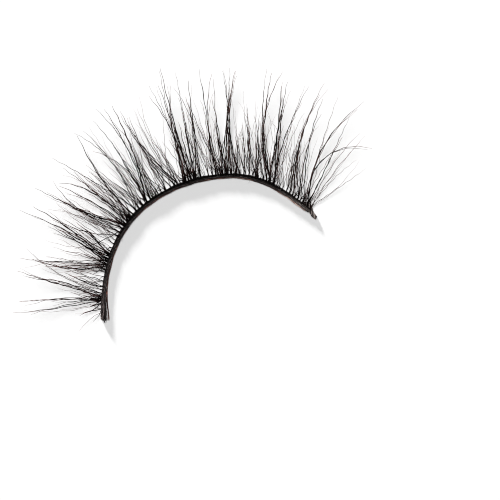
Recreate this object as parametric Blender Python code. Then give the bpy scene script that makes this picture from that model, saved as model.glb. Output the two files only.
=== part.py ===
"""A false eyelash strip at real size, lying on its band, in metres with +Z up.

The cotton band is an arch that follows the eyelid's edge. Locks of hair are tied along its outer
edge on a root thread, in twelve fans, and each lock leans, turns and curls upwards in its own way.
+X runs along the arch from its left end to its right end, +Y points to the lash tips, and the
origin is the middle of the band's foot at the top of the arch.
"""

import math

import bmesh
import bpy
from mathutils import Vector

MM = 0.001

# The arch, as points along the middle of the band in millimetres, left end first.
BAND_LINE = (
    (-12.30, -9.60),
    (-11.05, -7.20),
    (-9.55, -4.85),
    (-7.75, -2.95),
    (-5.50, -1.40),
    (-3.10, -0.40),
    (-0.40, 0.00),
    (2.40, -0.10),
    (5.10, -0.65),
    (7.80, -1.80),
    (10.10, -3.60),
    (11.90, -6.00),
    (13.30, -8.50),
)
LINE_STEPS = 16

# The band's section in millimetres: outward from the middle of its foot, and up from the surface.
BAND_SECTION = (
    (-0.15, 0.00),
    (0.15, 0.00),
    (0.29, 0.11),
    (0.34, 0.28),
    (0.23, 0.43),
    (-0.02, 0.42),
    (-0.25, 0.31),
    (-0.31, 0.14),
)
BAND_STEP = 0.8
BAND_SWELL = 0.30
BAND_SWELL_LENGTH = 4.5

# The root thread that the hairs are tied on, above the band's outer edge.
ROOT_OUT = 0.42
ROOT_HEIGHT = 0.52
ROOT_RADIUS = 0.11
ROOT_STEP = 0.7
FAN_GAP = 0.12

# Each lock of hair leaves almost flat and curls up along a round arc. Every other fan starts
# steeper, so that locks of neighbouring fans pass over each other.
LOW_RISE = 6.0
HIGH_RISE = 11.5
CURL_RADIUS = 21.0
LOCK_POINTS = 7
LOCK_ROOT_RADIUS = 0.065
LOCK_RADIUS = 0.11
LOCK_TIP_RADIUS = 0.025
LOCK_FULLEST = 0.30

# The short locks between the long ones, which lean in towards the middle of their fan.
SHORT_SPACING = 0.80
SHORT_REACH = 4.2
SHORT_REACH_CHANGE = 1.1
SHORT_GATHER = 17.0
SHORT_LEAN = 7.0
SHORT_WAVE = 2.3
SHORT_POINTS = 5
SHORT_RADIUS = 0.08

# Loose thread at the ends of the band.
TAIL_RADIUS = 0.19
TAIL_LINE = (
    (13.33, -8.60, 0.24),
    (13.37, -8.98, 0.22),
    (13.50, -9.40, 0.20),
    (13.72, -9.82, 0.20),
)
SPLIT_RADIUS = 0.075
SPLIT_FROM = 2.0
SPLIT_TO = -0.45
SPLIT_IN = 0.50
SPLIT_POINTS = 7

# One row for each fan: where its root thread starts and ends along the band, in millimetres from
# the left end, then its long locks. A lock is a row of its place along the band (at, mm), the
# angle from straight out to its tip (lean, degrees, + towards the right end), the distance from
# root to tip seen from above (reach, mm) and how far it bends sideways on the way (turn, degrees).
FANS = (
    (0.3, 4.3, (
        (0.6, -41, 3.0, -19),
        (1.2, -19, 2.4, -15),
        (2.2, -13, 9.5, 2),
        (2.4, -6, 8.8, -3),
        (2.5, 14, 9.3, 4),
        (2.8, 27, 9.4, 23),
    )),
    (4.3, 8.0, (
        (5.4, -14, 5.2, 4),
        (5.8, -6, 7.9, 38),
        (6.0, -11, 9.3, 2),
        (6.7, 12, 10.8, -16),
        (7.2, 24, 4.9, -28),
    )),
    (8.0, 11.1, (
        (8.4, 3, 7.8, -50),
        (10.1, 4, 8.8, 44),
        (10.4, -8, 10.1, 13),
        (10.6, 0, 8.2, -65),
    )),
    (11.1, 13.8, (
        (11.5, 13, 6.5, -26),
        (11.7, -1, 8.9, 0),
        (12.3, -7, 10.5, -12),
        (12.5, 11, 10.2, 27),
        (13.3, 3, 10.4, -45),
    )),
    (13.8, 16.2, (
        (14.1, -10, 7.7, -63),
        (14.5, 7, 11.1, -33),
        (14.9, 13, 10.6, -5),
        (15.5, 7, 7.2, 10),
    )),
    (16.2, 18.9, (
        (16.8, -1, 8.6, 17),
        (18.0, -14, 9.8, 33),
        (18.5, -7, 10.2, 33),
    )),
    (18.9, 21.4, (
        (19.2, -3, 10.7, -17),
        (19.4, 6, 12.2, 9),
        (19.7, 7, 6.2, -4),
        (20.3, 4, 11.3, 2),
        (20.6, 8, 10.3, -1),
    )),
    (21.4, 24.9, (
        (22.1, 1, 11.3, 1),
        (22.7, 1, 10.7, 35),
        (22.9, -20, 8.4, -3),
        (23.2, -3, 10.1, 5),
        (23.8, 3, 11.2, 5),
        (24.6, -4, 10.4, 35),
    )),
    (24.9, 27.5, (
        (25.5, -12, 5.2, -4),
        (26.2, -14, 7.7, 8),
        (26.9, -14, 6.9, 10),
    )),
    (27.5, 30.2, (
        (28.2, -16, 11.7, 54),
        (28.5, -27, 12.0, 22),
        (28.8, -19, 10.9, 8),
        (29.3, -11, 11.0, 22),
    )),
    (30.2, 32.6, (
        (30.7, -14, 12.1, 24),
        (31.8, -32, 6.8, 24),
        (32.2, -24, 11.0, 24),
    )),
    (32.6, 34.0, (
        (32.9, -19, 11.9, 7),
        (33.0, -6, 12.5, 52),
        (33.1, -9, 10.5, 3),
        (33.2, 14, 9.1, 121),
        (33.4, 1, 9.6, 3),
        (33.7, 18, 7.1, -5),
    )),
)

BLACK_COTTON = (0.012, 0.011, 0.011)
BLACK_HAIR = (0.010, 0.008, 0.008)
GREY_THREAD = (0.060, 0.050, 0.045)


def clear_scene():
    for thing in list(bpy.data.objects):
        bpy.data.objects.remove(thing)


def new_collection(name):
    collection = bpy.data.collections.new(name)
    bpy.context.scene.collection.children.link(collection)
    return collection


def new_material(name, colour, roughness):
    material = bpy.data.materials.new(name)
    material.use_nodes = True
    shader = material.node_tree.nodes["Principled BSDF"]
    shader.inputs["Base Color"].default_value = (*colour, 1.0)
    shader.inputs["Roughness"].default_value = roughness
    return material


def smooth_line(points):
    """A Catmull-Rom curve through the points, as (distance from the start, point) pairs."""
    points = [Vector(p) for p in points]
    points = [2 * points[0] - points[1], *points, 2 * points[-1] - points[-2]]
    smooth = []
    for a, b, c, d in zip(points, points[1:], points[2:], points[3:]):
        for step in range(LINE_STEPS):
            t = step / LINE_STEPS
            smooth.append(
                b
                + (c - a) * (t / 2)
                + (2 * a - 5 * b + 4 * c - d) * (t * t / 2)
                + (3 * b - a - 3 * c + d) * (t**3 / 2)
            )
    smooth.append(points[-2])
    line = [(0.0, smooth[0])]
    for before, point in zip(smooth, smooth[1:]):
        line.append((line[-1][0] + (point - before).length, point))
    return line


ARCH = smooth_line(BAND_LINE)
ARCH_LENGTH = ARCH[-1][0]


def on_arch(at):
    """The point at a distance along the arch, going straight on past either end."""
    for (low, a), (high, b) in zip(ARCH, ARCH[1:]):
        if at <= high:
            break
    return a.lerp(b, (at - low) / (high - low))


def directions(at):
    """Along the arch and straight out from it, as plan directions."""
    along = (on_arch(at + BAND_STEP / 2) - on_arch(at - BAND_STEP / 2)).normalized()
    return along, Vector((-along.y, along.x))


def beside_arch(at, out, height):
    place = on_arch(at) + directions(at)[1] * out
    return Vector((place.x, place.y, height))


def evenly(first, last, spacing):
    steps = max(1, round(abs(last - first) / spacing))
    return [first + (last - first) * step / steps for step in range(steps + 1)]


def new_curve(name, points, radii, resolution):
    """An open curve with straight stretches, round in section, its ends filled."""
    curve = bpy.data.curves.new(name, "CURVE")
    curve.dimensions = "3D"
    curve.bevel_depth = MM
    curve.bevel_resolution = resolution
    curve.use_fill_caps = True
    spline = curve.splines.new("POLY")
    spline.points.add(len(points) - 1)
    for target, point, radius in zip(spline.points, points, radii):
        target.co = (*(point * MM), 1.0)
        target.radius = radius
    return bpy.data.objects.new(name, curve)


def solid_mesh(curve_object, name):
    """The curve's tube as a closed mesh, its caps welded on, with the curve removed."""
    bpy.context.scene.collection.objects.link(curve_object)
    graph = bpy.context.evaluated_depsgraph_get()
    mesh = bpy.data.meshes.new_from_object(curve_object.evaluated_get(graph))
    bpy.data.objects.remove(curve_object)
    mesh.name = name
    shape = bmesh.new()
    shape.from_mesh(mesh)
    bmesh.ops.remove_doubles(shape, verts=shape.verts, dist=0.001 * MM)
    bmesh.ops.recalc_face_normals(shape, faces=shape.faces)
    shape.to_mesh(mesh)
    shape.free()
    return bpy.data.objects.new(name, mesh)


def tube(name, points, radii, resolution):
    return solid_mesh(new_curve(name + "_line", points, radii, resolution), name)


def lock_path(at, lean, reach, turn, rise, count):
    """Points along one lock, in millimetres, and how far along it each one is, from 0 to 1.

    Seen from above it is an arc that ends at its reach; seen from the side its slope grows along
    a round curl, from the rise that it has at its root.
    """
    along, out = directions(at)
    half_turn = math.radians(turn) / 2
    plan_length = reach * (half_turn / math.sin(half_turn) if turn else 1.0)
    step = plan_length / (count - 1)
    slope = math.sin(math.radians(rise))
    point = beside_arch(at, ROOT_OUT, ROOT_HEIGHT)
    points = [point]
    for index in range(count - 1):
        share = (index + 0.5) / (count - 1)
        heading = math.radians(lean) + half_turn * (2 * share - 1)
        plan = out * math.cos(heading) + along * math.sin(heading)
        climb = math.tan(math.asin(slope + share * plan_length / CURL_RADIUS))
        point = point + Vector((plan.x, plan.y, climb)) * step
        points.append(point)
    return points, [index / (count - 1) for index in range(count)]


def lock_radii(shares, fullest):
    """A lock starts narrow at its knot, fills out and tapers to its tip."""
    radii = []
    for share in shares:
        if share < LOCK_FULLEST:
            radii.append(LOCK_ROOT_RADIUS + (fullest - LOCK_ROOT_RADIUS) * share / LOCK_FULLEST)
        else:
            left = (1 - share) / (1 - LOCK_FULLEST)
            radii.append(LOCK_TIP_RADIUS + (fullest - LOCK_TIP_RADIUS) * left)
    return radii


def long_lock(name, row, rise):
    points, shares = lock_path(*row, rise, LOCK_POINTS)
    return tube(name, points, lock_radii(shares, LOCK_RADIUS), 1)


def short_lock(name, at, across, number, rise):
    """One of the short locks; across is its place in the fan, from -1 to 1."""
    lean = SHORT_LEAN * math.sin(SHORT_WAVE * number) - SHORT_GATHER * across
    reach = SHORT_REACH + SHORT_REACH_CHANGE * math.cos(SHORT_WAVE * number)
    points, shares = lock_path(at, lean, reach, -lean / 2, rise, SHORT_POINTS)
    return tube(name, points, lock_radii(shares, SHORT_RADIUS), 0)


def root_thread(name, first, last):
    stations = evenly(first + FAN_GAP / 2, last - FAN_GAP / 2, ROOT_STEP)
    points = [beside_arch(at, ROOT_OUT, ROOT_HEIGHT) for at in stations]
    return tube(name, points, [ROOT_RADIUS] * len(points), 2)


def make_fan(number, row, part, helpers, material):
    """A stretch of root thread, and the locks that are tied on it in a collection of their own."""
    first, last, long_rows = row
    name = f"lash_fan_{number:02d}"
    rise = HIGH_RISE if number % 2 else LOW_RISE
    fan = root_thread(name, first, last)
    fan.data.materials.append(material)
    part.objects.link(fan)
    locks = bpy.data.collections.new(name + "_locks")
    helpers.children.link(locks)
    for index, long_row in enumerate(long_rows, 1):
        locks.objects.link(long_lock(f"{name}_long_{index}", long_row, rise))
    margin = FAN_GAP / 2 + LOCK_RADIUS
    places = evenly(first + margin, last - margin, SHORT_SPACING)
    for index, at in enumerate(places):
        across = 2 * index / (len(places) - 1) - 1
        locks.objects.link(short_lock(f"{name}_short_{index + 1}", at, across, number + index, rise))
    for lock in locks.objects:
        lock.hide_render = True
        lock.display_type = "WIRE"
    return fan, locks


def fuse(fan, locks):
    join = fan.modifiers.new("Fuse locks", "BOOLEAN")
    join.operation = "UNION"
    join.operand_type = "COLLECTION"
    join.collection = locks
    join.solver = "EXACT"


def make_band(part, helpers, material):
    """The flat-footed cotton cord, its section carried along the arch and swollen at its left end."""
    section = bpy.data.curves.new("band_section", "CURVE")
    section.dimensions = "2D"
    outline = section.splines.new("POLY")
    outline.points.add(len(BAND_SECTION) - 1)
    for target, (out, up) in zip(outline.points, BAND_SECTION):
        target.co = (-out * MM, up * MM, 0.0, 1.0)
    outline.use_cyclic_u = True
    guide = bpy.data.objects.new("band_section", section)
    guide.hide_render = True
    guide.display_type = "WIRE"
    helpers.objects.link(guide)
    stations = evenly(0.0, ARCH_LENGTH, BAND_STEP)
    points = [beside_arch(at, 0.0, 0.0) for at in stations]
    swell = [1 + BAND_SWELL * max(0.0, 1 - at / BAND_SWELL_LENGTH) for at in stations]
    path = new_curve("lash_band_line", points, swell, 0)
    path.data.bevel_mode = "OBJECT"
    path.data.bevel_object = guide
    path.data.twist_mode = "Z_UP"
    band = solid_mesh(path, "lash_band")
    band.data.materials.append(material)
    part.objects.link(band)
    return band


def make_tail(part, material):
    """The end of the band's thread, which runs on past the last hairs and curls aside."""
    line = smooth_line(TAIL_LINE)[:: LINE_STEPS // 3]
    points = [point for _, point in line]
    radii = [TAIL_RADIUS * (1.0 if index < len(points) - 2 else 0.85) for index in range(len(points))]
    radii[-1] = TAIL_RADIUS * 0.5
    tail = tube("thread_tail", points, radii, 2)
    tail.data.materials.append(material)
    part.objects.link(tail)
    return tail


def make_split_end(part, material):
    """A thin thread that has come away from the inner side of the band's left end."""
    points = []
    radii = []
    for index in range(SPLIT_POINTS):
        share = index / (SPLIT_POINTS - 1)
        at = SPLIT_FROM + (SPLIT_TO - SPLIT_FROM) * share
        points.append(beside_arch(at, -SPLIT_IN - 0.06 * share, SPLIT_RADIUS + 0.02))
        radii.append(SPLIT_RADIUS * (1 - 0.5 * share**3))
    split = tube("split_thread", points, radii, 1)
    split.data.materials.append(material)
    part.objects.link(split)
    return split


def main():
    clear_scene()
    part = new_collection("false_eyelash_strip")
    helpers = new_collection("helpers")
    cotton = new_material("black_cotton", BLACK_COTTON, 0.75)
    hair = new_material("black_hair", BLACK_HAIR, 0.45)
    thread = new_material("grey_thread", GREY_THREAD, 0.85)
    make_band(part, helpers, cotton)
    fans = [make_fan(number, row, part, helpers, hair) for number, row in enumerate(FANS, 1)]
    make_tail(part, thread)
    make_split_end(part, thread)
    for fan, locks in fans:
        fuse(fan, locks)


main()
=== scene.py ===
# %% [markdown]
# # A false eyelash strip
#
# This lesson dresses a small, soft thing: a strip of false lashes that lies on its cotton band on
# a white table. The real strip is made by hand. Fine black hairs are knotted, a few at a time, on
# a thin root thread, the thread is stuck along a soft cotton cord, and the hairs are then curled.
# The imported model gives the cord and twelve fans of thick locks, which is right for touching and
# measuring, but far too coarse to look at. Here every strand gets its own mesh.
#
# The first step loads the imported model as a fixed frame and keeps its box. All that is made later
# keeps to that box, apart from a few soft hair tips that stand less than a millimetre above it,
# because the strip's size isn't ours to change.

# %% Load the frame
import math

import bpy
import numpy as np
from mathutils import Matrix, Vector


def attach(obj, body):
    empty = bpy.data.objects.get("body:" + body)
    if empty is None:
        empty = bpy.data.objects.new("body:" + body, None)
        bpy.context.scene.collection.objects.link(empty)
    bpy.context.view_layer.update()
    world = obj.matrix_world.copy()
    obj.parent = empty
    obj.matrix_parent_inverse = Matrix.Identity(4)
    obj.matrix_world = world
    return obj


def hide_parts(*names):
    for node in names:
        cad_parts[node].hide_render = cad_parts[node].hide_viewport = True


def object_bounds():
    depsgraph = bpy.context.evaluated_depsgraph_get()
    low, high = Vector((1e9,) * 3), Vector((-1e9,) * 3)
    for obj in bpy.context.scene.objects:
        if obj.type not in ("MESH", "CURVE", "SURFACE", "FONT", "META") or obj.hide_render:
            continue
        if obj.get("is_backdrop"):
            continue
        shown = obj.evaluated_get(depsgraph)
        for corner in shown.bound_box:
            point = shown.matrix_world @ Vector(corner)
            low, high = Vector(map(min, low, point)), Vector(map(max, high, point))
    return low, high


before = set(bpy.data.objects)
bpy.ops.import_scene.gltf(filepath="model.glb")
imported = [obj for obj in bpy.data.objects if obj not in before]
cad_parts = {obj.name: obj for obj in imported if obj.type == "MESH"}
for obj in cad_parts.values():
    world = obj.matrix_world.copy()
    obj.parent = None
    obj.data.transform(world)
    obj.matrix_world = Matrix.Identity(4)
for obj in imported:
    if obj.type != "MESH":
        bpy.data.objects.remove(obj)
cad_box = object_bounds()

MM = 0.001
print("solids:", len(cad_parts))
print("box in mm:", [[round(side / MM, 1) for side in corner] for corner in cad_box])

# %% [markdown]
# ## The arch
#
# The band follows the edge of an eyelid. It could be drawn as a Bezier curve and everything laid
# along it with the Curve modifier. Here the same idea is written out with numpy, because hundreds
# of hairs need it too: a smooth line runs through a few points, and any place on the strip is then
# given by three numbers, which are the distance along the band, the distance out towards the
# lashes, and the height. So each part can be planned straight and is bent as it is made.

# %% A smooth line through points
def smooth_line(points, steps=16):
    """A Catmull-Rom curve: it passes through every point, with the given steps between two."""
    points = np.array(points, float)
    points = np.vstack([2 * points[0] - points[1], points, 2 * points[-1] - points[-2]])
    t = np.arange(steps)[:, None] / steps
    stretches = []
    for a, b, c, d in zip(points, points[1:], points[2:], points[3:]):
        stretches.append(
            b
            + (c - a) * t / 2
            + (2 * a - 5 * b + 4 * c - d) * t**2 / 2
            + (3 * b - a - 3 * c + d) * t**3 / 2
        )
    return np.vstack([*stretches, points[-2]])


def distances(line):
    """How far along the line each of its points is."""
    lengths = np.linalg.norm(np.diff(line, axis=0), axis=1)
    return np.concatenate([[0.0], np.cumsum(lengths)])


def places_on(line, known, wanted):
    """The line's places at the wanted numbers, when the known ones belong to its points."""
    return np.stack([np.interp(wanted, known, column) for column in line.T], axis=-1)


# %% The band's middle line, in millimetres
BAND_LINE = (
    (-12.30, -9.60),
    (-11.05, -7.20),
    (-9.55, -4.85),
    (-7.75, -2.95),
    (-5.50, -1.40),
    (-3.10, -0.40),
    (-0.40, 0.00),
    (2.40, -0.10),
    (5.10, -0.65),
    (7.80, -1.80),
    (10.10, -3.60),
    (11.90, -6.00),
    (13.30, -8.50),
)
RUN_ON = 4.0  # the line goes straight on past both ends, for loose thread

arch = smooth_line(BAND_LINE)
band_length = distances(arch)[-1]
first_step = (arch[0] - arch[1]) / np.linalg.norm(arch[0] - arch[1])
last_step = (arch[-1] - arch[-2]) / np.linalg.norm(arch[-1] - arch[-2])
arch = np.vstack([arch[0] + RUN_ON * first_step, arch, arch[-1] + RUN_ON * last_step])
arch_at = distances(arch) - RUN_ON
print("band length in mm:", round(band_length, 1))


# %% From places on the strip to places in space
DIRECTION_REACH = 0.4


def on_arch(at):
    return places_on(arch, arch_at, at)


def directions(at):
    """Along the band and straight out from it, seen from above."""
    along = on_arch(at + DIRECTION_REACH) - on_arch(at - DIRECTION_REACH)
    along = along / np.linalg.norm(along, axis=-1, keepdims=True)
    return along, np.stack([-along[..., 1], along[..., 0]], axis=-1)


def beside_arch(at, out, up):
    """The points, in millimetres, for distances along, out and up."""
    at, out, up = np.broadcast_arrays(np.asarray(at, float), out, up)
    place = on_arch(at) + directions(at)[1] * out[..., None]
    return np.concatenate([place, up[..., None]], axis=-1)


print("top of the arch in mm:", beside_arch(band_length * 0.47, 0.0, 0.0).round(2))

# %% [markdown]
# ## Camera and light
#
# The strip is looked at from straight above, turned a little so that its left end lies lower. A
# long lens from nearly half a metre away keeps the view almost free of perspective. The light is a
# soft studio: a wide lamp overhead for the even white, a faint light all round, and one lower lamp
# behind the lash tips, which lays a soft grey shadow along the inside of the arch.
#
# Most of these hairs are thinner than a pixel. Cycles spreads each sample over a pixel and a half,
# which turns such hairs into grey mist, so the pixel filter is set to one pixel here.

# %% Camera
VIEW_CENTRE = (5.5, -9.8)
VIEW_WIDTH = 55.0
VIEW_TURN = -26.0
LENS = 300.0
SENSOR = 36.0

camera_height = VIEW_WIDTH * LENS / SENSOR
bpy.ops.object.camera_add(
    location=(VIEW_CENTRE[0] * MM, VIEW_CENTRE[1] * MM, camera_height * MM),
    rotation=(0.0, 0.0, math.radians(VIEW_TURN)),
)
camera = bpy.context.object
camera.name = "camera_above"
camera.data.lens = LENS
camera.data.sensor_width = SENSOR
camera.data.clip_start = 0.01
camera.data.clip_end = 10.0
bpy.context.scene.camera = camera
print("camera height in mm:", round(camera_height))

# %% Lamps and room
ROOM_LIGHT = 0.08
PIXEL_FILTER = 1.0
LAMPS = (
    # name, height above the horizon (degrees), softness (degrees), strength
    ("lamp_overhead", 72.0, 28.0, 2.27),
    ("lamp_behind_tips", 11.8, 6.5, 5.95),
)

room = bpy.data.worlds.new("bright_room")
room.use_nodes = True
room.node_tree.nodes["Background"].inputs["Color"].default_value = (1.0, 1.0, 1.0, 1.0)
room.node_tree.nodes["Background"].inputs["Strength"].default_value = ROOM_LIGHT
bpy.context.scene.world = room
for name, height, softness, strength in LAMPS:
    bpy.ops.object.light_add(type="SUN", location=(0.0, 0.2, 0.2))
    lamp = bpy.context.object
    lamp.name = name
    lamp.rotation_euler = (math.radians(height - 90.0), 0.0, 0.0)
    lamp.data.angle = math.radians(softness)
    lamp.data.energy = strength
bpy.context.scene.view_settings.view_transform = "Standard"
bpy.context.scene.cycles.filter_width = PIXEL_FILTER
print("lamps:", [name for name, *_ in LAMPS])

# %% [markdown]
# ## Finishes
#
# Each finish is a small tree of nodes. Cotton, hair and thread are all made of strands, so their
# colour and bump follow the strand and not the room: the UV map of a strand goes once round it in
# U and runs along it in millimetres in V. Two numbers are kept on each point as well, along (0 at
# the root, 1 at the tip) and tone (how light the strand is there), so that tips can fade, cotton
# can be flecked, no two strands look the same, and a thin hair alone can be painted lighter for
# the light that shines through it.

# %% A helper for nodes
def add_node(tree, kind, values=None, links=None, **settings):
    """A shader node with its settings, the values of its sockets, and the outputs that feed it."""
    node = tree.nodes.new("ShaderNode" + kind)
    for name, value in settings.items():
        setattr(node, name, value)
    for name, value in (values or {}).items():
        node.inputs[name].default_value = value
    for name, output in (links or {}).items():
        tree.links.new(output, node.inputs[name])
    return node


def new_finish(name):
    """A material with its tree and shader, ready for more nodes."""
    finish = bpy.data.materials.new(name)
    finish.use_nodes = True
    return finish, finish.node_tree, finish.node_tree.nodes["Principled BSDF"]


def ramp_node(tree, factor, stops):
    """A colour ramp; each stop is its place and its red, green and blue."""
    ramp = add_node(tree, "ValToRGB", links={"Fac": factor})
    elements = ramp.color_ramp.elements
    while len(elements) < len(stops):
        elements.new(0.5)
    for element, (place, *colour) in zip(elements, stops):
        element.position = place
        element.color = (*colour, 1.0)
    return ramp


# %% The finish of a strand
def strand_finish(name, stops, tone_gain, roughness, grain, bump, gloss=0.06, sheen=0.0, speck=None):
    """Colour by place along the strand, lighter or darker by its tone, with fine grain along it."""
    finish, tree, shader = new_finish(name)
    along = add_node(tree, "Attribute", attribute_name="along")
    tone = add_node(tree, "Attribute", attribute_name="tone")
    place = add_node(tree, "UVMap", uv_map="strand")
    stretch = add_node(tree, "Mapping", {"Scale": (grain, 1.6, 1.0)}, {"Vector": place.outputs["UV"]})
    fibres = add_node(
        tree, "TexNoise", {"Scale": 2.0, "Detail": 3.0}, {"Vector": stretch.outputs["Vector"]}
    )
    colours = ramp_node(tree, along.outputs["Fac"], stops)
    lighter = add_node(
        tree, "Math", {1: tone_gain, 2: 1.0 - tone_gain * 0.5}, {0: tone.outputs["Fac"]},
        operation="MULTIPLY_ADD",
    )
    grainy = add_node(
        tree, "MapRange", {"To Min": 0.55, "To Max": 1.45}, {"Value": fibres.outputs["Fac"]}
    )
    gain = add_node(
        tree, "Math", links={0: lighter.outputs["Value"], 1: grainy.outputs["Result"]},
        operation="MULTIPLY",
    )
    shaded = add_node(
        tree, "VectorMath", links={0: colours.outputs["Color"], "Scale": gain.outputs["Value"]},
        operation="SCALE",
    )
    colour = shaded.outputs["Vector"]
    if speck:
        amount, speck_colour = speck
        spots = add_node(
            tree, "TexNoise", {"Scale": 1.1, "Detail": 2.0}, {"Vector": place.outputs["UV"]}
        )
        where = add_node(
            tree, "MapRange", {"From Min": 0.62 - amount, "From Max": 0.70 - amount},
            {"Value": spots.outputs["Fac"]},
        )
        mixed = add_node(tree, "Mix", {"B": (*speck_colour, 1.0)}, data_type="RGBA")
        tree.links.new(where.outputs["Result"], mixed.inputs[0])
        tree.links.new(colour, mixed.inputs["A"])
        colour = mixed.outputs["Result"]
    tree.links.new(colour, shader.inputs["Base Color"])
    worn = add_node(
        tree, "MapRange", {"To Min": roughness - 0.10, "To Max": roughness + 0.10},
        {"Value": fibres.outputs["Fac"]},
    )
    tree.links.new(worn.outputs["Result"], shader.inputs["Roughness"])
    relief = add_node(
        tree, "Bump", {"Strength": bump, "Distance": 0.01 * MM}, {"Height": fibres.outputs["Fac"]}
    )
    tree.links.new(relief.outputs["Normal"], shader.inputs["Normal"])
    shader.inputs["Specular IOR Level"].default_value = gloss
    shader.inputs["Sheen Weight"].default_value = sheen
    shader.inputs["Sheen Roughness"].default_value = 0.5
    return finish


HAIR_STOPS = (
    (0.00, 0.0042, 0.0023, 0.0021),
    (0.50, 0.0060, 0.0032, 0.0029),
    (0.80, 0.0125, 0.0062, 0.0055),
    (1.00, 0.0240, 0.0125, 0.0110),
)
COTTON_STOPS = (
    (0.00, 0.0130, 0.0106, 0.0103),
    (1.00, 0.0130, 0.0110, 0.0102),
)
TAIL_STOPS = (
    (0.00, 0.100, 0.085, 0.078),
    (1.00, 0.250, 0.213, 0.194),
)
ROOT_STOPS = (
    (0.00, 0.0500, 0.0430, 0.0410),
    (0.05, 0.0340, 0.0290, 0.0280),
    (0.16, 0.0090, 0.0078, 0.0076),
    (0.28, 0.0016, 0.0012, 0.0012),
    (0.85, 0.0016, 0.0012, 0.0012),
    (1.00, 0.0080, 0.0066, 0.0062),
)
# painted highlight: the pale stops at 0.74 and from 0.91 on stand for a bright rim along the inner edge
# near the right end; the red-brown stops are the thread's own colour
EDGE_THREAD_AND_PAINTED_HIGHLIGHT_STOPS = (
    (0.00, 0.070, 0.035, 0.029),
    (0.40, 0.110, 0.056, 0.046),
    (0.66, 0.060, 0.036, 0.031),
    (0.74, 0.260, 0.170, 0.145),
    (0.80, 0.050, 0.034, 0.030),
    (0.88, 0.090, 0.052, 0.043),
    (0.91, 0.760, 0.560, 0.490),
    (1.00, 0.700, 0.520, 0.460),
)
SPLIT_STOPS = (
    (0.00, 0.050, 0.028, 0.025),
    (0.24, 0.100, 0.042, 0.034),
    (0.31, 0.420, 0.130, 0.080),
    (0.38, 0.100, 0.040, 0.033),
    (0.60, 0.038, 0.018, 0.016),
    (0.85, 0.080, 0.045, 0.039),
    (1.00, 0.260, 0.190, 0.170),
)
PALE_STOPS = (
    (0.00, 0.200, 0.170, 0.160),
    (1.00, 0.600, 0.550, 0.520),
)
hair_finish = strand_finish("black_hair", HAIR_STOPS, 2.0, 0.45, 3.0, 0.2, gloss=0.04)
cotton_finish = strand_finish("black_cotton", COTTON_STOPS, 2.0, 0.80, 4.0, 0.5, gloss=0.03, sheen=0.02)
root_finish = strand_finish("black_root_thread", ROOT_STOPS, 0.5, 0.60, 3.0, 0.3, gloss=0.02)
tail_finish = strand_finish("grey_brown_thread", TAIL_STOPS, 1.1, 0.85, 4.0, 0.5, sheen=0.06)
split_finish = strand_finish("brown_split_thread", SPLIT_STOPS, 0.8, 0.85, 4.0, 0.5)
edge_finish = strand_finish(
    "red_brown_edge_thread_and_painted_highlight", EDGE_THREAD_AND_PAINTED_HIGHLIGHT_STOPS, 0.8, 0.70, 3.0, 0.4, speck=(0.06, (0.30, 0.15, 0.12))
)
pale_finish = strand_finish("pale_cotton_fibre", PALE_STOPS, 0.6, 0.85, 3.0, 0.3)
print("finishes:", len(bpy.data.materials))

# %% [markdown]
# ## The table
#
# A large white sheet under the strip catches the shadow. It is a plane with a very faint cloudy
# tone, so that it reads as paper, and it is marked as stage because it isn't part of the strip.

# %% Table top
TABLE_SIDE = 4.0
TABLE_DROP = 0.02 * MM
PAPER_STOPS = (
    (0.30, 0.895, 0.895, 0.895),
    (0.70, 0.905, 0.905, 0.905),
)

bpy.ops.mesh.primitive_plane_add(size=TABLE_SIDE, location=(0.0, 0.0, -TABLE_DROP))
table_top = bpy.context.object
table_top.name = "white_table_top"
paper, tree, shader = new_finish("white_paper")
where = add_node(tree, "TexCoord")
clouds = add_node(tree, "TexNoise", {"Scale": 60.0, "Detail": 2.0}, {"Vector": where.outputs["Object"]})
tone = ramp_node(tree, clouds.outputs["Fac"], PAPER_STOPS)
tree.links.new(tone.outputs["Color"], shader.inputs["Base Color"])
shader.inputs["Roughness"].default_value = 0.9
shader.inputs["Specular IOR Level"].default_value = 0.1
table_top.data.materials.append(paper)
table_top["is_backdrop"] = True
print("table top side in m:", TABLE_SIDE)

# %% [markdown]
# ## One strand, modelled once
#
# A ply of cotton, a fibre and a hair are all long thin tubes. So the tube is modelled once for
# each kind: a circle is extruded upwards ring by ring in edit mode, and both ends are filled. It
# could instead be a curve with a bevel, but a mesh lets each copy have its own taper, UV map and
# tone, and many copies can share one object.
#
# Laying a copy along a line means that ring number five goes to point number five of the line,
# and is turned to face along it. A side direction is carried from ring to ring without twisting.

# %% Model the pattern of a strand
def strand_pattern(sides, rings):
    """Points and faces of a tube of radius 1, one ring for each unit of height."""
    bpy.ops.mesh.primitive_circle_add(vertices=sides, radius=1.0, fill_type="NOTHING")
    tube = bpy.context.object
    bpy.ops.object.mode_set(mode="EDIT")
    bpy.ops.mesh.select_all(action="SELECT")
    for _ in range(rings - 1):
        bpy.ops.mesh.extrude_region_move(TRANSFORM_OT_translate={"value": (0.0, 0.0, 1.0)})
    bpy.ops.mesh.edge_face_add()
    bpy.ops.mesh.select_all(action="DESELECT")
    bpy.ops.object.mode_set(mode="OBJECT")
    for vertex in tube.data.vertices:
        vertex.select = vertex.co.z < 0.5
    bpy.ops.object.mode_set(mode="EDIT")
    bpy.ops.mesh.edge_face_add()
    bpy.ops.mesh.select_all(action="SELECT")
    bpy.ops.mesh.normals_make_consistent(inside=False)
    bpy.ops.object.mode_set(mode="OBJECT")
    return take_pattern(tube)


def take_pattern(modelled):
    """The object's points and faces as plain arrays; the object itself goes."""
    corners = np.array([vertex.co for vertex in modelled.data.vertices], float)
    faces = [list(polygon.vertices) for polygon in modelled.data.polygons]
    bpy.data.meshes.remove(modelled.data)
    return corners, faces


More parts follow.
